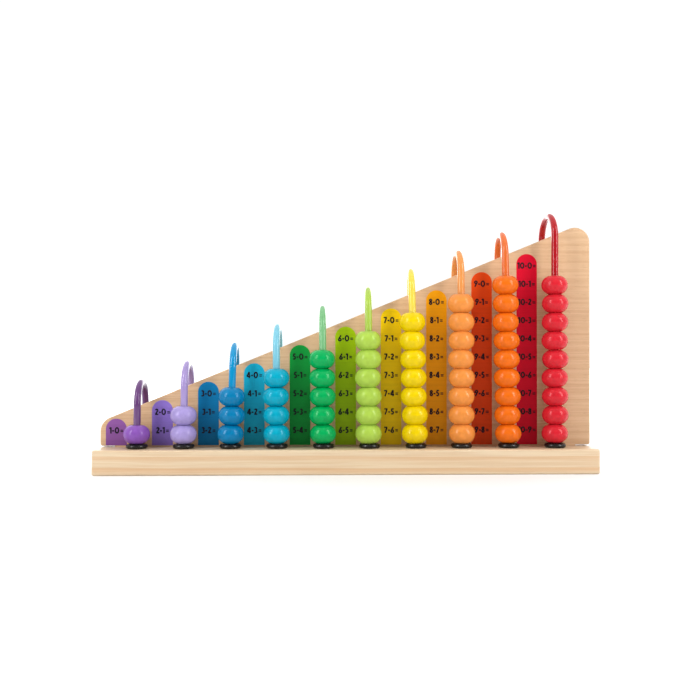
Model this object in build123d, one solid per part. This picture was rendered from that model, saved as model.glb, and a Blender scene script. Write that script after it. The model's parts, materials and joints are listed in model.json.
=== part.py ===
from build123d import *
import os
from math import cos, radians, sin, tan

# A stepped counting frame for a child. Ten wire hoops stand astride a sloping board on a flat base. Each
# hoop is taller than the one before it and carries one bead more, so the beads make a flight of steps.
# Millimetres, +Z up, +X along the rising board. The front faces -Y. The origin is at the middle of the
# base's underside.

# Columns
COLUMNS = 10                  # hoops, and the number of beads on the tallest one
PITCH = 40.0                  # from hoop to hoop

# Base
BASE_WIDTH = 430.0
BASE_DEPTH = 72.0
BASE_HEIGHT = 21.4
BASE_ROUND = 1.8              # rounding along every edge

# Board
BOARD_THICK = 12.0
BOARD_MID_TOP = 132.2         # height of the sloping edge above the table, halfway along
BOARD_SLOPE = 22.4            # degrees, rising towards +X
BOARD_LIFT = 1.0              # the board's ends stand this far clear of the base
BOARD_TOP_ROUND = 13.0        # upper corners of the outline
BOARD_FOOT_ROUND = 2.0        # lower corners of the outline
BOARD_EDGE_ROUND = 0.8        # rounding where the faces meet the rim
TENON_WIDTH = 404.0
TENON_DEPTH = 8.0             # how far the board's foot goes down into the base
GROOVE_CLEAR = 0.05           # play on each side of the tenon

# Hoops
WIRE_RADIUS = 3.1
WIRE_END = 0.5                # chamfer at the wire's cut ends
WIRE_SUNK = 14.0              # length of each leg inside the base
HOLE_CLEAR = 0.05
HOOP_RADIUS = 20.0            # of the arch's centre line, so the legs are twice that apart
FIRST_RISE = 36.5             # from the base up to the centre of the first hoop's arch
RISE_STEP = 16.3              # each hoop is this much taller than the last
# Bent and set by hand, no two hoops stand quite alike. How far each stands off its even place along X, how
# far it leans towards +X, in degrees, and how far it is turned about its front leg, which brings its back leg
# towards +X.
HOOP_ASIDE = [-0.4, -0.4, -0.4, -0.4, -0.4, -0.7, -0.5, -0.9, 0.0, 0.4]
HOOP_LEAN = [0.5, 0.5, 1.5, -0.5, -0.5, -0.5, -1.5, -0.2, -1.0, 0.0]
HOOP_TURN = [-1.5, -0.5, -1.5, 1.0, 0.0, 2.0, 3.5, 0.0, 1.5, -2.5]

# Foot rings
RING_RADIUS = 9.25
RING_HEIGHT = 3.9
RING_BORE = 3.4

# Beads
BEAD_RADIUS = 11.3
BEAD_HEIGHT = 16.0
BEAD_BORE = 4.1               # wide, so that a bead gets round the arch
BEAD_MOUTH = 0.6              # chamfer at each end of the bore
BEAD_PLAY = 0.08              # between beads at rest
BEAD_START = 0.25             # between a stack and its foot ring
BEAD_SWAY = 0.3               # how far one bead sits beyond the next on its loose bore, to either side
BEAD_ASIDE = [-0.6, -0.3, 0.0, -0.5, -0.6, -0.6, -0.6, 0.0, -0.4, 0.0]  # where each stack sits on its wire
ROUND_FLAT = 5.4              # radius of the flat ends of most beads
SQUARE_FLAT = 6.4             # and of the squarer ones
SQUARE_COLUMNS = [6, 7, 8]    # columns with the squarer beads
PARKED = {10: 1}              # column: beads left behind the board

# Screws that hold the board down
SCREW_PLACES = [-160.0, -60.0, 60.0, 160.0]
SCREW_RADIUS = 2.0
SCREW_LENGTH = 26.0           # over all
SCREW_HEAD = 4.0              # radius of the countersunk head
SCREW_HEAD_DEEP = 2.2
SCREW_RECESS = 1.5            # the head lies this far inside the base
SCREW_CROSS = (4.4, 1.1, 1.4)  # the driver's slot: length, width, depth
SCREW_CLEAR = 0.05


def column_x(column):
    """X of a hoop's front foot; columns count from 1 at the low end."""
    return (column - (COLUMNS + 1) / 2) * PITCH + HOOP_ASIDE[column - 1]


def rise(column):
    """Height of a hoop's arch centre above the base, along the hoop."""
    return FIRST_RISE + RISE_STEP * (column - 1)


def feet_frame(column):
    """Where a hoop's feet stand: origin between them on the base, Y from the front foot to the back one."""
    front_foot = Pos(column_x(column), -HOOP_RADIUS, BASE_HEIGHT)
    return front_foot * Rot(0, 0, -HOOP_TURN[column - 1]) * Pos(0, HOOP_RADIUS, 0)


def hoop_frame(column):
    """The hoop's own frame: as its feet stand, with Z up its lean."""
    return feet_frame(column) * Rot(0, HOOP_LEAN[column - 1], 0)


def leg(radius, bottom, top):
    """An upright cylinder between two heights."""
    return Pos(0, 0, bottom) * Cylinder(radius, top - bottom, align=(Align.CENTER, Align.CENTER, Align.MIN))


def screw_body(clear=0.0):
    """A countersunk screw standing on its head, or the hole for it."""
    tip = SCREW_LENGTH - 2 * SCREW_RADIUS
    outline = Polyline(
        (0, 0),
        (SCREW_HEAD + clear, 0),
        (SCREW_RADIUS + clear, SCREW_HEAD_DEEP),
        (SCREW_RADIUS + clear, tip),
        (0, SCREW_LENGTH + clear),
        close=True,
    )
    return revolve(Plane.XZ * make_face(outline), Axis.Z)


def screw_places():
    """Where the screws' heads sit, on the board's middle line."""
    return [Pos(x, 0, SCREW_RECESS) for x in SCREW_PLACES]


def make_screw():
    """The screw with a crossed slot in its head."""
    length, width, depth = SCREW_CROSS
    slot = Pos(0, 0, depth / 2) * (Box(length, width, depth) + Box(width, length, depth))
    return screw_body() - slot


def make_base():
    """The base plank: rounded edges, a groove for the board, holes for the wires and the screws."""
    plank = Box(BASE_WIDTH, BASE_DEPTH, BASE_HEIGHT, align=(Align.CENTER, Align.CENTER, Align.MIN))
    plank = fillet(plank.edges(), BASE_ROUND)
    play = 2 * GROOVE_CLEAR
    groove = Box(TENON_WIDTH + play, BOARD_THICK + play, 2 * (TENON_DEPTH + GROOVE_CLEAR))
    plank -= Pos(0, 0, BASE_HEIGHT) * groove
    hole = leg(WIRE_RADIUS + HOLE_CLEAR, -WIRE_SUNK - HOLE_CLEAR, BASE_HEIGHT)
    for column in range(1, COLUMNS + 1):
        for side in (-1, 1):
            plank -= hoop_frame(column) * Pos(0, side * HOOP_RADIUS, 0) * hole
    counterbore = leg(SCREW_HEAD + SCREW_CLEAR, -SCREW_RECESS, 0)
    for place in screw_places():
        plank -= place * (screw_body(SCREW_CLEAR) + counterbore)
    return plank


def make_board():
    """The sloping board with its tenon."""
    foot = BASE_HEIGHT + BOARD_LIFT
    half = BASE_WIDTH / 2
    climb = half * tan(radians(BOARD_SLOPE))
    outline = Polygon(
        (-half, foot),
        (half, foot),
        (half, BOARD_MID_TOP + climb),
        (-half, BOARD_MID_TOP - climb),
        align=None,
    )
    corners = outline.vertices().sort_by(Axis.Y)
    outline = fillet(corners[2:], BOARD_TOP_ROUND)
    outline = fillet(outline.vertices().group_by(Axis.Y)[0], BOARD_FOOT_ROUND)
    board = extrude(Plane.XZ * outline, BOARD_THICK / 2, both=True)
    rim = board.edges().filter_by(lambda edge: abs(abs(edge.center().Y) - BOARD_THICK / 2) < 1e-6)
    board = fillet(rim, BOARD_EDGE_ROUND)
    tenon_top = foot + 2 * BOARD_FOOT_ROUND
    tenon = Box(TENON_WIDTH, BOARD_THICK, tenon_top - BASE_HEIGHT + TENON_DEPTH)
    board += Pos(0, 0, (tenon_top + BASE_HEIGHT - TENON_DEPTH) / 2) * tenon
    for place in screw_places():
        board -= place * screw_body(SCREW_CLEAR)
    return board


def make_hoop(column):
    """One wire hoop: two straight legs and a half-round arch."""
    top = rise(column)
    straight = leg(WIRE_RADIUS, -WIRE_SUNK, top)
    straight = chamfer(straight.edges().group_by(Axis.Z)[0], WIRE_END)
    section = Pos(0, HOOP_RADIUS, top) * Circle(WIRE_RADIUS)
    arch = revolve(section, Axis((0, 0, top), (1, 0, 0)), 180)
    hoop = arch + Pos(0, -HOOP_RADIUS, 0) * straight + Pos(0, HOOP_RADIUS, 0) * straight
    return hoop_frame(column) * hoop


def make_foot_ring():
    """A thick ring with a full round rim, lying on the base."""
    half = RING_HEIGHT / 2
    outline = [
        Line((RING_BORE, 0), (RING_RADIUS - half, 0)),
        ThreePointArc((RING_RADIUS - half, 0), (RING_RADIUS, half), (RING_RADIUS - half, RING_HEIGHT)),
        Polyline((RING_RADIUS - half, RING_HEIGHT), (RING_BORE, RING_HEIGHT), (RING_BORE, 0)),
    ]
    return revolve(Plane.XZ * make_face(outline), Axis.Z)


def make_bead(flat):
    """A turned bead standing on its lower end: flat ends, a round side, a bore with chamfered mouths."""
    mouth = BEAD_BORE + BEAD_MOUTH
    outline = [
        Line((mouth, 0), (flat, 0)),
        ThreePointArc((flat, 0), (BEAD_RADIUS, BEAD_HEIGHT / 2), (flat, BEAD_HEIGHT)),
        Polyline(
            (flat, BEAD_HEIGHT),
            (mouth, BEAD_HEIGHT),
            (BEAD_BORE, BEAD_HEIGHT - BEAD_MOUTH),
            (BEAD_BORE, BEAD_MOUTH),
            (mouth, 0),
        ),
    ]
    return revolve(Plane.XZ * make_face(outline), Axis.Z)


def bead_places(column):
    """Frames of a column's beads on their lower ends: the front stack first, then any parked behind."""
    places = []
    parked = PARKED.get(column, 0)
    for side, count in ((-1, column - parked), (1, parked)):
        for number in range(count):
            height = RING_HEIGHT + BEAD_START + number * (BEAD_HEIGHT + BEAD_PLAY)
            sway = BEAD_ASIDE[column - 1] + BEAD_SWAY * sin(2.4 * number + 1.7 * column)
            places.append(hoop_frame(column) * Pos(sway, side * HOOP_RADIUS, height))
    return places


def write(node, *solids):
    """Write one node's solids to its own STEP file."""
    export_step(Compound(label=node, children=list(solids)), f"parts/{node}.step")


os.makedirs("parts", exist_ok=True)
columns = range(1, COLUMNS + 1)
write("base", make_base())
write("board", make_board())
write("board_screws", *[place * make_screw() for place in screw_places()])
write("hoops", *[make_hoop(column) for column in columns])

ring = make_foot_ring()
write("foot_rings", *[
    feet_frame(column) * Pos(0, side * HOOP_RADIUS, 0) * ring for column in columns for side in (-1, 1)
])

for column in columns:
    bead = make_bead(SQUARE_FLAT if column in SQUARE_COLUMNS else ROUND_FLAT)
    for number, place in enumerate(bead_places(column), start=1):
        write(f"bead_{column:02d}_{number:02d}", place * bead)
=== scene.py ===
import json
from math import asin, cos, degrees, hypot, pi, radians, sin, sqrt

import bpy
from mathutils import Matrix, Vector


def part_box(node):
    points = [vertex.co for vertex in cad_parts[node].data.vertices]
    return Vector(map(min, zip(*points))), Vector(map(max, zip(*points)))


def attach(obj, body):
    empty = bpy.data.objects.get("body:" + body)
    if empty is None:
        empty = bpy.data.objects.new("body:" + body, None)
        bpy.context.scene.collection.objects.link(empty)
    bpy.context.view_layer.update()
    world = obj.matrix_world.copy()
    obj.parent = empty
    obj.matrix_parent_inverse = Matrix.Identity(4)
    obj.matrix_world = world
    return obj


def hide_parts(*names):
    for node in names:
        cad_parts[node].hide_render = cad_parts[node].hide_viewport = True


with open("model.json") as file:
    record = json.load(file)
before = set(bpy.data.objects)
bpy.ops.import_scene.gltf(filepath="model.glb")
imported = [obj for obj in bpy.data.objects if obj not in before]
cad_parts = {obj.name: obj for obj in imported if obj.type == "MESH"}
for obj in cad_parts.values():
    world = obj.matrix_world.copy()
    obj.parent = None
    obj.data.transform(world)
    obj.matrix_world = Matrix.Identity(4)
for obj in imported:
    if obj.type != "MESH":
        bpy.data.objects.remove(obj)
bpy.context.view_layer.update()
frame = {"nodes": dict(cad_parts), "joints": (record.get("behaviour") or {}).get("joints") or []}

# A stepped wooden abacus: wire hoops astride a sloping board, with painted beads. Everything is in metres,
# in the frame's axes: X along the board, the front towards -Y, Z up. Sizes with MM are in millimetres.
MM = 0.001
UP = Vector((0, 0, 1))

# Camera
LENS = 45.7                     # focal length in millimetres
CAMERA_AT = Vector((-0.0181, -0.7866, 0.1013))
CAMERA_YAW = 1.53               # degrees to the right of straight on
CAMERA_PITCH = 0.34             # degrees above level

# Studio
LIGHT_LEVEL = 1.3               # a white surface in the studio is this bright
LIGHTS_FACE = Vector((0, 0, 0.09))  # the point that all lights are turned to
BRIGHT_SIDE = (0, 0.75, 0.66)   # towards the brightest part of the room: up and behind
ROOM_FADE = (-0.7, 0.6)         # cosine of the angle to that side where the room is dim, and is bright
FLOOR_REACH = 6.0               # from the middle to the floor's edges
FLOOR_WHITE = 0.82
FLOOR_FADE = (0.4, 1.2)         # between these distances the floor takes on the white of the room
FLOOR_GLOW = 0.6                # what it gives off beyond them

# Colours, as screen values from 0 to 255, one for each column from the low end
PAINTS = ["violet", "lilac", "blue", "sky", "green", "lime", "yellow", "peach", "orange", "red"]
BEAD_COLOURS = [
    (147, 92, 190), (182, 165, 228), (0, 134, 190), (0, 178, 208), (0, 184, 96),
    (186, 222, 86), (255, 222, 0), (255, 158, 72), (255, 120, 20), (230, 40, 54),
]
WIRE_COLOURS = [
    (104, 60, 120), (170, 150, 208), (0, 150, 206), (130, 204, 226), (126, 192, 132),
    (176, 208, 78), (250, 222, 80), (242, 156, 80), (232, 112, 46), (180, 16, 28),
]
STRIP_COLOURS = [
    (136, 84, 152), (136, 110, 194), (0, 118, 170), (16, 168, 198), (12, 148, 58),
    (156, 188, 0), (238, 198, 0), (230, 154, 0), (214, 68, 8), (206, 0, 40),
]

PLANK = {
    "pale": (240, 219, 186), "warm": (234, 208, 170), "late": (224, 172, 120), "fibre": (206, 158, 112),
    "worn": (214, 176, 132),
}
VENEER = {
    "pale": (234, 196, 154), "warm": (228, 187, 144), "band": (205, 158, 108), "fibre": (192, 144, 98),
    "fleck": (160, 112, 72), "worn": (196, 150, 104),
}
PLY = {"along": (226, 192, 150), "across": (188, 142, 98), "pores": (150, 104, 66)}
INK = {"fresh": (14, 8, 22), "faded": (44, 36, 50)}
RUBBER = {"dark": (8, 7, 7), "light": (22, 19, 18)}
STEEL = {"dull": (150, 150, 156), "bright": (196, 196, 200)}

# How bright a paint is against its colour above
BEAD_SHADES = (0.82, 0.94)      # from patch to patch
BORE_SHADE = 0.25
WIRE_SHADES = (0.9, 1.06)       # from patch to patch
STRIP_PAINTED_SHADE = (1.15, 1.42)     # at the foot and at the top: painted shade, darker towards the base
STRIP_PATCH = 0.85
STRIP_FIBRE = 0.6

# Beads
ROUND_FLAT = 5.4 * MM           # radius of the flat ends
SQUARE_FLAT = 6.4 * MM          # and of the squarer beads' ends
SQUARE_COLUMNS = (6, 7, 8)
BEAD_BORE = 4.1 * MM
MOUTH_ROUND = 0.7 * MM
SHOULDER_ROUND = 0.9 * MM       # where the side runs into the flat end
ENAMEL_RELIEF = 0.04 * MM       # on the beads, and on the wires' coating
BEAD_STEPS = 64                 # faces round a bead,
SIDE_STEPS = 12                 # up each half of its side,
SHOULDER_STEPS = 4              # round its shoulder
MOUTH_STEPS = 5                 # and round its mouth
BEAD_SPIN = 137.5               # each bead is turned this many degrees beyond the last,
COLUMN_SPIN = 31                # and each column's first bead this many

# Hoops and rings
WIRE_STEPS = 28                 # faces round a wire
ARCH_STEPS = 40                 # and along its arch
RING_STEPS = 48                 # faces round a ring,
RIM_STEPS = 12                  # round its rim
LIP_STEPS = 4                   # and round each end of its bore
RING_FIT = 1.08                 # bore of a ring against the wire
RING_LIP = 0.5 * MM             # rounding at the bore's ends

# Wood
RING_HEART = (-20 * MM, -58 * MM)  # Y and Z of the heart that the base's growth rings go round
RING_WIDTH = 9.7 * MM           # one year's growth
RING_START = 0.21               # part of a year by which the rings are shifted
RING_WANDER = 6 * MM
VENEER_BAND = 7.2 * MM          # height of one band of grain on the board
VENEER_SWAY = 16 * MM
VENEER_FIBRE = (12.0, 700.0, 700.0)  # how fine its fibres are along X, Y and Z
PLY_LAYERS = 9
BASE_WEAR = 2.2 * MM            # width of the rubbing along the edges
BOARD_WEAR = 1.4 * MM
BASE_RUBBED = 0.55              # how much of the worn colour shows there
BOARD_RUBBED = 0.5
RUBBED_ROUGHER = 0.2
WEAR_TURN = (0.985, 0.86)       # cosine of the surface's turn where the rubbing begins, and is full

# Printed strips, measured from the base's top and from the middle of the board
STRIP_WIDTH = 18.2 * MM
STRIP_PITCH = 40 * MM
STRIP_ASIDE = 21.1 * MM         # from a hoop's even place to the strip's middle
STRIP_FOOT = 1.3 * MM
STRIP_FIRST_TOP = 24.6 * MM
STRIP_THICK = 0.05 * MM
ROW_FIRST = 14.4 * MM           # height of the lowest row of print
DIGIT_HEIGHT = 5.5 * MM
INK_THICK = 0.04 * MM
INK_STEP = 0.002 * MM           # each stroke of a figure lies this much above the one before

COLUMN_GAP = 8 * MM             # a gap along X wider than this parts two columns


# ---- Reading the frame ----

def columns_of(node):
    """The points of a node that repeats along X, one list for each column."""
    points = sorted((vertex.co for vertex in frame["nodes"][node].data.vertices), key=lambda p: p.x)
    groups = [[points[0]]]
    for before, point in zip(points, points[1:]):
        if point.x - before.x > COLUMN_GAP:
            groups.append([])
        groups[-1].append(point)
    return groups


def span(points, axis):
    """Lowest and highest value of some points along one axis."""
    values = [point[axis] for point in points]
    return min(values), max(values)


def foot_of(ring_points):
    """The middle of a foot ring, on the base's top."""
    return Vector((sum(span(ring_points, 0)) / 2, sum(span(ring_points, 1)) / 2, base_top))


class Column:
    """One hoop with its rings and beads, as the frame has them. Both its legs lean along one axis."""

    def __init__(self, number, ring_points, hoop_points):
        self.number = number
        self.paint = PAINTS[number - 1]
        front = [point for point in ring_points if point.y < 0]
        self.front_foot = foot_of(front)
        self.back_foot = foot_of([point for point in ring_points if point.y > 0])
        self.ring_radius = (span(front, 0)[1] - span(front, 0)[0]) / 2
        self.ring_height = span(front, 2)[1] - base_top
        between_feet = self.back_foot - self.front_foot
        self.leg = between_feet.length / 2
        self.foot = (self.front_foot + self.back_foot) / 2
        self.across = between_feet.normalized()
        self.beads = sorted(n for n in frame["nodes"] if n.startswith(f"bead_{number:02d}_"))
        joint = next(j for j in frame["joints"] if j["child"] == self.beads[0])
        self.axis = Vector(joint["axis"]).normalized()
        in_base = [point for point in hoop_points if point.y > 0 and point.z < base_top]
        self.wire = max((point - self.back_foot).cross(self.axis).length for point in in_base)
        bottom, top = span(hoop_points, 2)
        self.rise = (top - base_top - self.wire) / self.axis.z - self.leg
        self.sunk = (base_top - bottom) / self.axis.z


def middle(node):
    """The middle of a node's box."""
    low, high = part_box(node)
    return (low + high) / 2


board_low, board_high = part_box("board")
base_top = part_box("base")[1].z
COLUMNS = [
    Column(number, rings, hoop)
    for number, (rings, hoop) in enumerate(zip(columns_of("foot_rings"), columns_of("hoops")), start=1)
]
lowest, second = COLUMNS[-1].beads[:2]
row_step = (middle(second) - middle(lowest)).length  # from bead to bead, and from row to row of print


def strip_top(column):
    """Height of the top of a column's printed strip."""
    return base_top + STRIP_FIRST_TOP + (column.number - 1) * row_step


# ---- Mesh helpers ----

def mesh_object(name, points, faces, smooth=True):
    """A new object in the scene from points and faces."""
    mesh = bpy.data.meshes.new(name)
    mesh.from_pydata(points, [], faces)
    mesh.polygons.foreach_set("use_smooth", [smooth] * len(mesh.polygons))
    mesh.update()
    piece = bpy.data.objects.new(name, mesh)
    bpy.context.scene.collection.objects.link(piece)
    return piece


def ring_faces(rings, around, close_rings=False):
    """Quads that join rings of points, each with the same number of points, in order."""
    faces = []
    for ring in range(rings if close_rings else rings - 1):
        following = (ring + 1) % rings
        for step in range(around):
            after = (step + 1) % around
            faces.append((ring * around + step, ring * around + after,
                          following * around + after, following * around + step))
    return faces


def lathe(name, profile, steps):
    """A closed profile of (radius, height) pairs turned about Z."""
    points = []
    for radius, height in profile:
        for step in range(steps):
            turn = 2 * pi * step / steps
            points.append((radius * cos(turn), radius * sin(turn), height))
    return mesh_object(name, points, ring_faces(len(profile), steps, close_rings=True))


def arc(centre_x, centre_y, radius_x, radius_y, start, end, steps):
    """Points along an arc of an ellipse, from one angle to another in degrees."""
    points = []
    for step in range(steps + 1):
        turn = radians(start + (end - start) * step / steps)
        points.append((centre_x + radius_x * cos(turn), centre_y + radius_y * sin(turn)))
    return points


# ---- Material helpers ----

def linear(colour, shade=1.0):
    """A colour as it looks in the studio, in screen values, as the linear colour that nodes take."""
    parts = [value / 255 for value in colour]
    parts = [v / 12.92 if v <= 0.04045 else ((v + 0.055) / 1.055) ** 2.4 for v in parts]
    return (*[v * shade / LIGHT_LEVEL for v in parts], 1.0)


class Paint:
    """A material and short ways to add nodes to it."""

    def __init__(self, name, **surface):
        self.material = bpy.data.materials.new(name)
        self.material.use_nodes = True
        self.tree = self.material.node_tree
        self.surface = self.tree.nodes["Principled BSDF"]
        self.place = self.add("TexCoord").outputs["Object"]
        self.set(**surface)

    def add(self, kind, **settings):
        """A new shader node of one kind, with its settings."""
        node = self.tree.nodes.new("ShaderNode" + kind)
        for key, value in settings.items():
            setattr(node, key, value)
        return node

    def feed(self, socket, value):
        """Links another node's output to a socket, or sets a plain value."""
        if isinstance(value, bpy.types.NodeSocket):
            self.tree.links.new(value, socket)
        else:
            socket.default_value = value

    def set(self, **surface):
        """Sets inputs of the surface shader; an underscore stands for a space."""
        for key, value in surface.items():
            self.feed(self.surface.inputs[key.replace("_", " ")], value)

    def math(self, operation, first, second=0.0, third=0.0):
        """A sum worked out by a node."""
        node = self.add("Math", operation=operation)
        for socket, value in zip(node.inputs, (first, second, third)):
            self.feed(socket, value)
        return node.outputs[0]

    def length(self, first, second):
        """The length of a line with these parts along two axes."""
        squares = [self.math("MULTIPLY", part, part) for part in (first, second)]
        return self.math("SQRT", self.math("ADD", *squares))

    def split(self, place):
        """The three parts of a place."""
        node = self.add("SeparateXYZ")
        self.feed(node.inputs[0], place)
        return node.outputs

    def noise(self, scale, detail=3.0, roughness=0.5):
        """Smooth noise from 0 to 1; the scale is one number, or one for each axis."""
        node = self.add("TexNoise")
        if isinstance(scale, tuple):
            stretch = self.add("VectorMath", operation="MULTIPLY")
            self.feed(stretch.inputs[0], self.place)
            self.feed(stretch.inputs[1], scale)
            self.feed(node.inputs["Vector"], stretch.outputs[0])
            self.feed(node.inputs["Scale"], 1.0)
        else:
            self.feed(node.inputs["Vector"], self.place)
            self.feed(node.inputs["Scale"], scale)
        self.feed(node.inputs["Detail"], detail)
        self.feed(node.inputs["Roughness"], roughness)
        return node.outputs["Fac"]

    def between(self, value, low, high, low_out=0.0, high_out=1.0):
        """A value eased from one range to another."""
        node = self.add("MapRange", interpolation_type="SMOOTHSTEP")
        for socket, number in zip(node.inputs, (value, low, high, low_out, high_out)):
            self.feed(socket, number)
        return node.outputs[0]

    def rise_and_fall(self, value, low, full, still_full, high):
        """0 up to low, 1 between the two full values, and 0 again from high on."""
        return self.math("MULTIPLY", self.between(value, low, full),
                         self.between(value, still_full, high, 1.0, 0.0))

    def mix(self, share, first, second):
        """One colour, running over into another as the share goes from 0 to 1."""
        node = self.add("Mix", data_type="RGBA")
        self.feed(node.inputs[0], share)
        self.feed(node.inputs[6], first)
        self.feed(node.inputs[7], second)
        return node.outputs[2]

    def edges(self, width):
        """How near a sharp turn of the surface is: 0 on a flat face, 1 on an edge."""
        soft = self.add("Bevel", samples=6)
        self.feed(soft.inputs["Radius"], width)
        along = self.add("VectorMath", operation="DOT_PRODUCT")
        self.feed(along.inputs[0], soft.outputs[0])
        self.feed(along.inputs[1], self.add("NewGeometry").outputs["Normal"])
        return self.between(along.outputs["Value"], *WEAR_TURN)

    def worn(self, width, scale):
        """Where the edges are rubbed: patches of them, of a size that the noise's scale gives."""
        patches = self.between(self.noise(scale, 4.0, 0.6), 0.42, 0.62)
        return self.math("MULTIPLY", self.edges(width), patches)

    def bump(self, height, distance, strength, normal=None):
        """Relief from a height, on top of another relief if there is one."""
        node = self.add("Bump")
        self.feed(node.inputs["Height"], height)
        self.feed(node.inputs["Distance"], distance)
        self.feed(node.inputs["Strength"], strength)
        if normal is not None:
            self.feed(node.inputs["Normal"], normal)
        return node.outputs[0]


# ---- Materials ----

def base_wood():
    """Pale plain-sawn wood: growth rings about a heart below the plank, fine fibres, clear lacquer."""
    paint = Paint("base_wood", Coat_Weight=0.25, Coat_Roughness=0.3)
    _, y, z = paint.split(paint.place)
    across = paint.math("SUBTRACT", y, RING_HEART[0])
    up = paint.math("SUBTRACT", z, RING_HEART[1])
    wander = paint.noise((4.0, 20.0, 20.0), 2.0)
    reach = paint.math("MULTIPLY_ADD", wander, RING_WANDER, paint.length(across, up))
    years = paint.math("SUBTRACT", paint.math("DIVIDE", reach, RING_WIDTH), RING_START)
    part = paint.math("FRACT", years)
    year = paint.add("TexWhiteNoise", noise_dimensions="1D")
    paint.feed(year.inputs["W"], paint.math("FLOOR", years))
    late = paint.rise_and_fall(part, 0.35, 0.85, 0.88, 0.99)
    late = paint.math("MULTIPLY", late, paint.between(year.outputs["Value"], 0.0, 1.0, 0.2, 0.55))
    fibre = paint.noise((14.0, 900.0, 900.0), 5.0, 0.65)
    cloud = paint.noise((9.0, 60.0, 60.0), 2.0)
    worn = paint.worn(BASE_WEAR, (60.0, 150.0, 150.0))

    colour = paint.mix(cloud, linear(PLANK["pale"]), linear(PLANK["warm"]))
    colour = paint.mix(late, colour, linear(PLANK["late"]))
    colour = paint.mix(paint.between(fibre, 0.38, 0.62, 0.3, 0.0), colour, linear(PLANK["fibre"]))
    colour = paint.mix(paint.math("MULTIPLY", worn, BASE_RUBBED), colour, linear(PLANK["worn"]))
    relief = paint.bump(fibre, 0.06 * MM, 0.6)
    relief = paint.bump(paint.math("MULTIPLY", worn, -1.0), 0.12 * MM, 0.5, relief)
    rough = paint.math("MULTIPLY_ADD", worn, RUBBED_ROUGHER, paint.between(fibre, 0.3, 0.7, 0.5, 0.36))
    paint.set(Base_Color=colour, Normal=relief, Roughness=rough)
    return paint.material


def board_wood():
    """Plywood: a face veneer with fine level grain, and layers that show round the rim."""
    paint = Paint("board_wood", Coat_Weight=0.2, Coat_Roughness=0.3)
    _, y, z = paint.split(paint.place)
    sway = paint.noise((4.0, 8.0, 16.0), 2.0)
    part = paint.math("MULTIPLY_ADD", sway, VENEER_SWAY, z)
    part = paint.math("FRACT", paint.math("DIVIDE", part, VENEER_BAND))
    band = paint.rise_and_fall(part, 0.3, 0.8, 0.82, 0.98)
    fibre = paint.noise(VENEER_FIBRE, 5.0, 0.65)
    fleck = paint.noise((150.0, 1500.0, 1500.0), 2.0)
    cloud = paint.noise((7.0, 20.0, 30.0), 2.0)
    worn = paint.worn(BOARD_WEAR, (120.0, 200.0, 120.0))

    face = paint.mix(cloud, linear(VENEER["pale"]), linear(VENEER["warm"]))
    face = paint.mix(paint.math("MULTIPLY", band, 0.2), face, linear(VENEER["band"]))
    face = paint.mix(paint.between(fibre, 0.36, 0.62, 0.35, 0.0), face, linear(VENEER["fibre"]))
    face = paint.mix(paint.between(fleck, 0.3, 0.42, 0.25, 0.0), face, linear(VENEER["fleck"]))

    two_layers = 2 * (board_high.y - board_low.y) / PLY_LAYERS
    layer = paint.math("DIVIDE", paint.math("SUBTRACT", y, board_low.y), two_layers)
    layer = paint.math("GREATER_THAN", paint.math("FRACT", layer), 0.5)
    end_pores = paint.noise((1600.0, 500.0, 1600.0))
    rim = paint.mix(layer, linear(PLY["along"]), linear(PLY["across"]))
    rim = paint.mix(paint.between(end_pores, 0.35, 0.5, 0.35, 0.0), rim, linear(PLY["pores"]))

    normal_y = paint.split(paint.add("TexCoord").outputs["Normal"])[1]
    on_face = paint.between(paint.math("ABSOLUTE", normal_y), 0.5, 0.7)
    colour = paint.mix(on_face, rim, face)
    colour = paint.mix(paint.math("MULTIPLY", worn, BOARD_RUBBED), colour, linear(VENEER["worn"]))
    paint.set(Base_Color=colour, Normal=paint.bump(fibre, 0.05 * MM, 0.6),
              Roughness=paint.math("MULTIPLY_ADD", worn, RUBBED_ROUGHER, 0.45))
    return paint.material


def bead_paint(column):
    """Glossy enamel over turned wood, thin enough to show the grain's relief."""
    colour = BEAD_COLOURS[column.number - 1]
    paint = Paint("bead_" + column.paint, Specular_IOR_Level=0.2, Specular_Tint=linear(colour),
                  Coat_Weight=0.36, Coat_Roughness=0.19)
    cloud = paint.noise(190.0, 2.0)
    grain = paint.noise((1100.0, 1100.0, 130.0))
    peel = paint.noise(900.0, 2.0)
    x, y, _ = paint.split(paint.place)
    outside = paint.between(paint.length(x, y), BEAD_BORE, BEAD_BORE + MOUTH_ROUND, 0.45, 1.0)
    shade = paint.mix(paint.between(cloud, 0.3, 0.7), *[linear(colour, part) for part in BEAD_SHADES])
    shade = paint.mix(outside, linear(colour, BORE_SHADE), shade)
    relief = paint.bump(grain, ENAMEL_RELIEF, 0.15)
    paint.set(Base_Color=shade, Roughness=paint.between(peel, 0.3, 0.7, 0.16, 0.24),
              Normal=paint.bump(peel, ENAMEL_RELIEF, 0.1, relief))
    return paint.material


def wire_coating(column):
    """Smooth glossy coating on steel wire."""
    colour = WIRE_COLOURS[column.number - 1]
    paint = Paint("wire_" + column.paint, Specular_IOR_Level=0.2, Specular_Tint=linear(colour),
                  Roughness=0.1, Coat_Weight=0.85, Coat_Roughness=0.04)
    cloud = paint.noise(120.0, 2.0)
    peel = paint.noise(700.0, 2.0)
    shade = paint.mix(cloud, *[linear(colour, part) for part in WIRE_SHADES])
    paint.set(Base_Color=shade, Normal=paint.bump(peel, ENAMEL_RELIEF, 0.1))
    return paint.material


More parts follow.
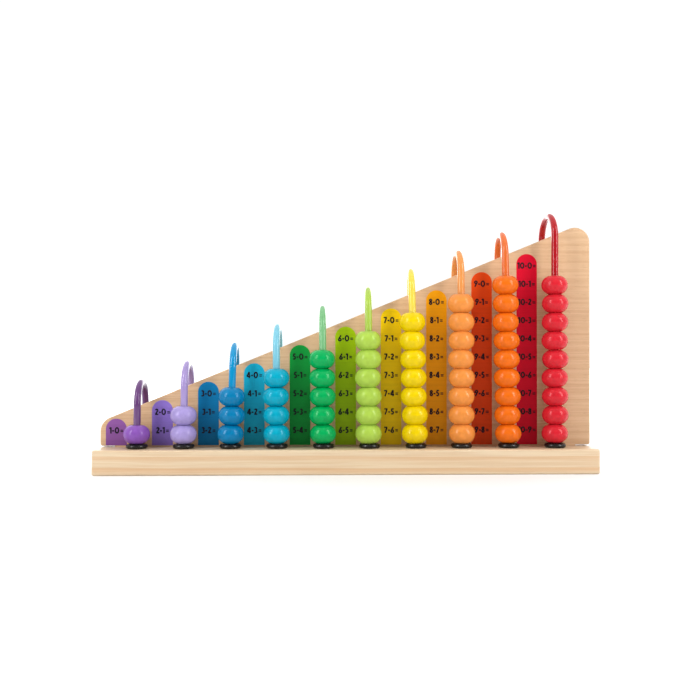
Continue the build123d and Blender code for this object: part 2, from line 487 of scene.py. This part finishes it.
def strip_paint(column):
    """Satin printed paint with painted shade that darkens it towards the foot, over the veneer's fine
    relief.
    """
    colour = STRIP_COLOURS[column.number - 1]
    paint = Paint("strip_" + column.paint, Roughness=0.5, Specular_IOR_Level=0.12)
    height = paint.split(paint.place)[2]
    cloud = paint.noise((60.0, 60.0, 90.0), 2.0)
    fibre = paint.noise(VENEER_FIBRE, 5.0, 0.65)
    # painted shade: the strip's colour darkens from its top down to the base
    painted_shade_fade = paint.between(height, base_top, strip_top(column))
    shade = paint.mix(painted_shade_fade, *[linear(colour, part) for part in STRIP_PAINTED_SHADE])
    shade = paint.mix(paint.math("MULTIPLY", cloud, 0.25), shade, linear(colour, STRIP_PATCH))
    shade = paint.mix(paint.between(fibre, 0.3, 0.55, 0.16, 0.0), shade, linear(colour, STRIP_FIBRE))
    paint.set(Base_Color=shade, Normal=paint.bump(fibre, 0.04 * MM, 0.5))
    return paint.material


def ink():
    """Near-black printing ink, a little worn."""
    paint = Paint("sum_ink", Roughness=0.6, Specular_IOR_Level=0.2)
    blot = paint.between(paint.noise(1400.0), 0.5, 0.75)
    paint.set(Base_Color=paint.mix(blot, linear(INK["fresh"]), linear(INK["faded"])))
    return paint.material


def ring_black():
    """Glossy black moulded rings."""
    paint = Paint("ring_black", Specular_IOR_Level=0.4)
    mould = paint.noise(500.0)
    paint.set(Base_Color=paint.mix(mould, linear(RUBBER["dark"]), linear(RUBBER["light"])),
              Roughness=paint.between(mould, 0.3, 0.7, 0.22, 0.38),
              Normal=paint.bump(mould, 0.05 * MM, 0.3))
    return paint.material


def screw_steel():
    """Zinc-plated steel."""
    paint = Paint("screw_steel", Metallic=1.0)
    bloom = paint.noise(420.0, 4.0)
    paint.set(Base_Color=paint.mix(bloom, linear(STEEL["dull"]), linear(STEEL["bright"])),
              Roughness=paint.between(bloom, 0.3, 0.7, 0.25, 0.45),
              Normal=paint.bump(bloom, 0.04 * MM, 0.4))
    return paint.material


# ---- Beads ----

def bead_profile(radius, height, flat):
    """The bead's section about its middle: round side, soft shoulders, flat ends, round mouths, bore."""
    half = height / 2
    bulge = radius - flat
    side = (half ** 2 + bulge ** 2) / (2 * bulge)
    side_centre = radius - side
    soft_z = half - SHOULDER_ROUND
    soft_x = side_centre + sqrt((side - SHOULDER_ROUND) ** 2 - soft_z ** 2)
    turn = degrees(asin(soft_z / (side - SHOULDER_ROUND)))
    mouth = BEAD_BORE + MOUTH_ROUND
    upper = arc(side_centre, 0, side, side, 0, turn, SIDE_STEPS)
    upper += arc(soft_x, soft_z, SHOULDER_ROUND, SHOULDER_ROUND, turn, 90, SHOULDER_STEPS)[1:]
    upper += arc(mouth, half - MOUTH_ROUND, MOUTH_ROUND, MOUTH_ROUND, 90, 180, MOUTH_STEPS)
    lower = [(x, -z) for x, z in reversed(upper[1:])]
    return lower + upper


def make_beads(column):
    """Every bead of a column: one turned shape, each in its own place on the wire."""
    flat = SQUARE_FLAT if column.number in SQUARE_COLUMNS else ROUND_FLAT
    material = bead_paint(column)
    mesh = None
    for node in column.beads:
        low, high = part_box(node)
        if mesh is None:
            radius = (high.y - low.y) / 2
            height = (high.z - low.z - 2 * flat * hypot(column.axis.x, column.axis.y)) / column.axis.z
            bead = lathe(node + "_turned", bead_profile(radius, height, flat), BEAD_STEPS)
            mesh = bead.data
            mesh.materials.append(material)
        else:
            bead = bpy.data.objects.new(node + "_turned", mesh)
            bpy.context.scene.collection.objects.link(bead)
        number = int(node[-2:])
        spin = Matrix.Rotation(radians(BEAD_SPIN * number + COLUMN_SPIN * column.number), 4, "Z")
        tilt = UP.rotation_difference(column.axis).to_matrix().to_4x4()
        bead.matrix_world = Matrix.Translation((low + high) / 2) @ tilt @ spin
        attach(bead, node)
        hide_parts(node)


# ---- Hoops and rings ----

def make_hoop(column):
    """A bent wire: a leg down into the base, a half-round arch, and the other leg."""
    across = column.across
    side = across.cross(column.axis)
    route = [(-column.leg, height) for height in (-column.sunk, 0, column.rise)]
    route += arc(0, column.rise, column.leg, column.leg, 180, 0, ARCH_STEPS)[1:]
    route += [(column.leg, height) for height in (0, -column.sunk)]
    points = []
    for index, (out, up) in enumerate(route):
        before = Vector(route[max(index - 1, 0)])
        after = Vector(route[min(index + 1, len(route) - 1)])
        run = (after - before).normalized()
        forward = across * run.x + column.axis * run.y
        normal = forward.cross(side)
        centre = column.foot + across * out + column.axis * up
        for step in range(WIRE_STEPS):
            turn = 2 * pi * step / WIRE_STEPS
            points.append(centre + column.wire * (cos(turn) * side + sin(turn) * normal))
    faces = ring_faces(len(route), WIRE_STEPS)
    faces.append(tuple(range(WIRE_STEPS)))
    faces.append(tuple(reversed(range(len(points) - WIRE_STEPS, len(points)))))
    hoop = mesh_object(f"hoop_{column.number:02d}", points, faces)
    hoop.data.materials.append(wire_coating(column))
    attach(hoop, "frame")
    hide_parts("hoops")


def make_rings(column, material):
    """The two rings at a hoop's feet: a full round rim, a flat top with a soft bore."""
    half = column.ring_height / 2
    lip = column.wire * RING_FIT + RING_LIP
    outline = arc(column.ring_radius - half, half, half, half, -90, 90, RIM_STEPS)
    outline += arc(lip, column.ring_height - RING_LIP, RING_LIP, RING_LIP, 90, 180, LIP_STEPS)
    outline += arc(lip, RING_LIP, RING_LIP, RING_LIP, 180, 270, LIP_STEPS)
    for foot, word in ((column.front_foot, "front"), (column.back_foot, "back")):
        ring = lathe(f"ring_{column.number:02d}_{word}", outline, RING_STEPS)
        ring.matrix_world = Matrix.Translation(foot)
        ring.data.materials.append(material)
        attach(ring, "frame")
        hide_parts("foot_rings")


# ---- Printed strips ----

# Figures, as their width and their strokes, one unit high. A stroke is a list of points, and is closed if
# it ends where it began.
STROKE = 0.23                   # width of a stroke,
THIN = 0.14                     # and of an equals sign's strokes
HALF = STROKE / 2
SHARPEST = 0.3                  # cosine of half a corner's turn beyond which its mitre grows no longer
TOUCH = 1e-6                    # points nearer than this are one
CIRCLE_STEPS = 28
STRIP_STEPS = 32                # round the top of a strip


def circle(x, y, radius_x, radius_y):
    """A closed stroke round an ellipse."""
    return arc(x, y, radius_x, radius_y, 0, 360, CIRCLE_STEPS)


SIX = [circle(0.28, 0.28, 0.19, 0.185), [(0.12, 0.37), (0.43, 0.98)]]
FIGURES = {
    "0": (0.70, [circle(0.35, 0.5, 0.25, 0.4)]),
    "1": (0.34, [[(0.24, 0), (0.24, 1)], [(0.0, 0.8), (0.2, 0.93)]]),
    "2": (0.52, [arc(0.26, 0.73, 0.16, 0.17, 170, -38, 14) + [(0.1, 0.12)],
                 [(0.02, HALF), (0.52, HALF)]]),
    "3": (0.50, [arc(0.23, 0.74, 0.15, 0.16, 150, -90, 14), arc(0.23, 0.29, 0.18, 0.19, 90, -150, 16)]),
    "4": (0.60, [[(0.42, 0), (0.42, 1)], [(0.38, 0.96), (0.06, 0.31)], [(0.0, 0.28), (0.6, 0.28)]]),
    "5": (0.52, [[(0.12, 0.9), (0.48, 0.9)], [(0.17, 0.9), (0.12, 0.5)],
                 arc(0.24, 0.32, 0.18, 0.22, 130, -145, 18)]),
    "6": (0.56, SIX),
    "7": (0.52, [[(0.0, 0.9), (0.5, 0.9)], [(0.43, 0.86), (0.15, 0)]]),
    "8": (0.52, [circle(0.26, 0.735, 0.145, 0.165), circle(0.26, 0.285, 0.165, 0.185)]),
    "9": (0.56, [[(0.56 - x, 1 - y) for x, y in stroke] for stroke in SIX]),
    "-": (0.34, [[(0.02, 0.42), (0.32, 0.42)]]),
    "+": (0.42, [[(0.02, 0.42), (0.4, 0.42)], [(0.21, 0.23), (0.21, 0.61)]]),
    "=": (0.44, [[(0.0, 0.53), (0.44, 0.53)], [(0.0, 0.31), (0.44, 0.31)]]),
}
SPACE = 0.08                    # between figures
SPACE_BEFORE_EQUALS = 0.2


def stroke_edges(stroke, width):
    """The two edges of a stroke, with its corners mitred, and whether it is closed."""
    closed = hypot(stroke[0][0] - stroke[-1][0], stroke[0][1] - stroke[-1][1]) < TOUCH
    path = [Vector(point) for point in (stroke[:-1] if closed else stroke)]
    left, right = [], []
    for index, point in enumerate(path):
        before = path[index - 1] if closed or index else point
        after = path[(index + 1) % len(path)] if closed or index < len(path) - 1 else point
        runs = [run.normalized() for run in (point - before, after - point) if run.length > 0]
        run = sum(runs, Vector((0, 0))).normalized()
        reach = width / 2 / max(run.dot(runs[0]), SHARPEST)
        aside = Vector((-run.y, run.x)) * reach
        left.append(point + aside)
        right.append(point - aside)
    return left, right, closed


def add_stroke(points, faces, stroke, width, place, low, high):
    """Adds one stroke as a thin closed solid; place turns (across, up, out) into a point."""
    left, right, closed = stroke_edges(stroke, width)
    first = len(points)
    for one, other in zip(left, right):
        for edge, out in ((one, high), (other, high), (other, low), (one, low)):
            points.append(place(edge.x, edge.y, out))
    count = len(left)
    for index in range(count if closed else count - 1):
        here = first + 4 * index
        there = first + 4 * ((index + 1) % count)
        for side in range(4):
            after = (side + 1) % 4
            faces.append((here + side, there + side, there + after, here + after))
    if not closed:
        last = first + 4 * (count - 1)
        faces.append((first, first + 1, first + 2, first + 3))
        faces.append((last + 3, last + 2, last + 1, last))


def write_sum(points, faces, text, height, place):
    """Adds one row of figures, centred on the strip's middle line."""
    gaps = [SPACE_BEFORE_EQUALS if sign == "=" else SPACE for sign in text[1:]]
    width = sum(FIGURES[sign][0] for sign in text) + sum(gaps)
    pen = -width / 2
    for sign, gap in zip(text, gaps + [0.0]):
        own_width, strokes = FIGURES[sign]
        thick = THIN if sign == "=" else STROKE
        for level, stroke in enumerate(strokes):
            moved = [
                ((pen + x) * DIGIT_HEIGHT, height + (y - 0.5) * DIGIT_HEIGHT)
                for x, y in stroke
            ]
            high = STRIP_THICK + INK_THICK + level * INK_STEP
            add_stroke(points, faces, moved, thick * DIGIT_HEIGHT, place, STRIP_THICK / 2, high)
        pen += own_width + gap


def make_strips(column, ink_material):
    """The painted strips on both faces of the board, with their rows of sums."""
    beads = column.number
    top = strip_top(column)
    radius = STRIP_WIDTH / 2
    foot = base_top + STRIP_FOOT
    paint = strip_paint(column)
    for face, word, sign in ((-1, "front", "-"), (1, "back", "+")):
        centre_x = (beads - (len(COLUMNS) + 1) / 2) * STRIP_PITCH + face * STRIP_ASIDE
        surface = board_low.y if face < 0 else board_high.y

        def place(across, up, out):
            """A point on the strip, read from its middle, up from the floor and out from the board."""
            return Vector((centre_x - face * across, surface + face * out, up))

        outline = arc(0, top - radius, radius, radius, 0, 180, STRIP_STEPS)
        outline += [(-radius, foot), (radius, foot)]
        points = [place(x, z, out) for out in (STRIP_THICK, -STRIP_THICK) for x, z in outline]
        count = len(outline)
        faces = [tuple(range(count)), tuple(reversed(range(count, 2 * count)))]
        faces += [(i, i + count, (i + 1) % count + count, (i + 1) % count) for i in range(count)]
        strip = mesh_object(f"strip_{beads:02d}_{word}", points, faces, smooth=False)
        strip.data.materials.append(paint)
        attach(strip, "frame")

        points, faces = [], []
        for row in range(beads):
            text = f"{beads}-{row}=" if sign == "-" else f"{beads - row}+{row}="
            height = base_top + ROW_FIRST + (beads - 1 - row) * row_step
            write_sum(points, faces, text, height, place)
        sums = mesh_object(f"sums_{beads:02d}_{word}", points, faces, smooth=False)
        sums.data.materials.append(ink_material)
        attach(sums, "frame")


# ---- The object ----

for node, material in (("base", base_wood()), ("board", board_wood()), ("board_screws", screw_steel())):
    mesh = frame["nodes"][node].data
    mesh.materials.clear()
    mesh.materials.append(material)

ring_material = ring_black()
ink_material = ink()
for column in COLUMNS:
    make_hoop(column)
    make_rings(column, ring_material)
    make_beads(column)
    make_strips(column, ink_material)


# ---- Floor, light and camera ----

def make_floor():
    """A plain pale floor that runs out into the white of the room."""
    corners = [(x * FLOOR_REACH, y * FLOOR_REACH, 0) for x, y in ((-1, -1), (1, -1), (1, 1), (-1, 1))]
    floor = mesh_object("floor", corners, [(0, 1, 2, 3)])
    white = (FLOOR_WHITE, FLOOR_WHITE, FLOOR_WHITE, 1.0)
    paint = Paint("floor_white", Base_Color=white, Roughness=0.8, Specular_IOR_Level=0.1)
    x, y, _ = paint.split(paint.place)
    glow = paint.between(paint.length(x, y), *FLOOR_FADE, 0.0, FLOOR_GLOW)
    paint.set(Emission_Color=(1, 1, 1, 1), Emission_Strength=glow)
    floor.data.materials.append(paint.material)


def soft_light(name, place, width, height, brightness):
    """A flat studio light that faces the object; brightness is that of its surface."""
    light = bpy.data.lights.new(name, "AREA")
    light.shape = "RECTANGLE"
    light.size = width
    light.size_y = height
    light.energy = brightness * pi * width * height
    lamp = bpy.data.objects.new(name, light)
    bpy.context.scene.collection.objects.link(lamp)
    lamp.location = place
    lamp.rotation_euler = (LIGHTS_FACE - Vector(place)).to_track_quat("-Z", "Y").to_euler()
    lamp.visible_camera = False


def make_world(front, back, seen):
    """A white room, bright above and behind and dim in front; the camera sees it evenly white."""
    world = bpy.data.worlds.new("studio")
    bpy.context.scene.world = world
    world.use_nodes = True
    tree = world.node_tree
    background = tree.nodes["Background"]
    background.inputs["Color"].default_value = (1, 1, 1, 1)
    behind = tree.nodes.new("ShaderNodeVectorMath")
    behind.operation = "DOT_PRODUCT"
    tree.links.new(tree.nodes.new("ShaderNodeTexCoord").outputs["Generated"], behind.inputs[0])
    behind.inputs[1].default_value = BRIGHT_SIDE
    fade = tree.nodes.new("ShaderNodeMapRange")
    fade.interpolation_type = "SMOOTHSTEP"
    for socket, value in zip(list(fade.inputs)[1:5], (*ROOM_FADE, front, back)):
        socket.default_value = value
    tree.links.new(behind.outputs["Value"], fade.inputs[0])
    choose = tree.nodes.new("ShaderNodeMix")
    tree.links.new(tree.nodes.new("ShaderNodeLightPath").outputs["Is Camera Ray"], choose.inputs[0])
    tree.links.new(fade.outputs[0], choose.inputs[2])
    choose.inputs[3].default_value = seen
    tree.links.new(choose.outputs[0], background.inputs["Strength"])


def make_camera():
    """A long way off in front, a little to the left and almost level."""
    camera = bpy.data.objects.new("camera", bpy.data.cameras.new("camera"))
    bpy.context.scene.collection.objects.link(camera)
    camera.data.lens = LENS
    camera.location = CAMERA_AT
    camera.rotation_euler = (radians(90 + CAMERA_PITCH), 0, radians(-CAMERA_YAW))
    bpy.context.scene.camera = camera


make_floor()
make_world(front=0.2, back=1.15, seen=1.05)
for name, side in (("left_box", -1), ("right_box", 1)):
    soft_light(name, (side * 0.95, -0.72, 0.6), width=0.3, height=1.0, brightness=9.8)
soft_light("backdrop", (0, 1.6, 0.62), width=3.6, height=1.2, brightness=1.9)
make_camera()
bpy.context.scene.view_settings.view_transform = "Standard"
